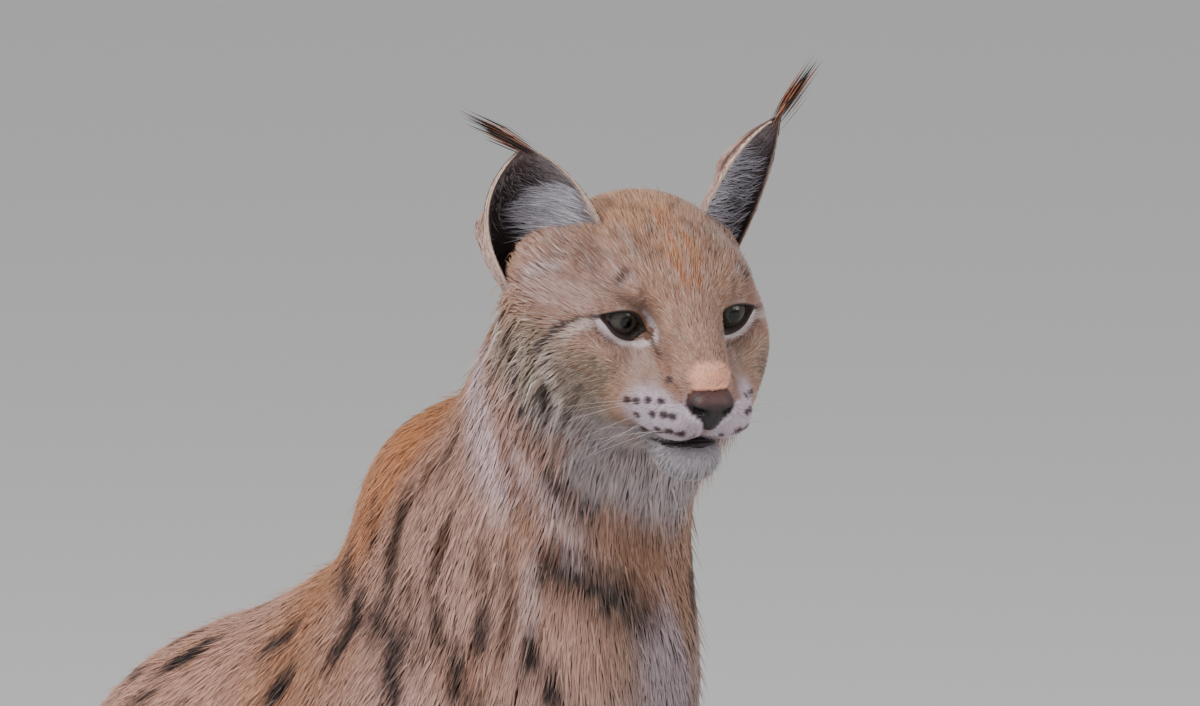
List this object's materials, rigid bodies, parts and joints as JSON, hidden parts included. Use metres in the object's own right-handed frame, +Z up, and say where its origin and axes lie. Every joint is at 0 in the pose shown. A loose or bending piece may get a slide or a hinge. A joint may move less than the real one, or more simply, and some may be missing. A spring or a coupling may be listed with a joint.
{
  "type": "eurasian lynx",
  "caption": "Life-size Eurasian lynx sitting on its haunches, head turned to its right, with tufted ears, a cheek ruff and a short tail laid on the floor.",
  "frame": {"origin": "on the floor, at the middle of the outline seen from above", "axes": "+X the way the body faces, +Y its left, +Z up"},
  "size_m": [0.6907, 0.3369, 0.8375],
  "materials": {
    "coat": "short dense fur, tawny with dark spots and streaks",
    "pale_coat": "soft pale fur of the throat, chest and chin",
    "nose_leather": "moist dark brown skin, finely grained",
    "eye": "wet and glossy, grey-olive iris with a round black pupil"
  },
  "bodies": {
    "root": {"forepaw_left": "coat", "forepaw_right": "coat", "forearm_left": "coat", "forearm_right": "coat", "shoulder_left": "coat", "shoulder_right": "coat", "hind_foot_left": "coat", "hind_foot_right": "coat", "lower_leg_left": "coat", "lower_leg_right": "coat", "thigh_left": "coat", "thigh_right": "coat", "tail_tip": "coat", "tail": "coat", "rump": "coat", "loin": "coat", "neck": "coat", "chest": "pale_coat", "head": "coat", "lower_jaw": "pale_coat", "nose": "nose_leather", "eye_left": "eye", "eye_right": "eye", "ear_left": "coat", "ear_right": "coat"}
  },
  "joints": []
}
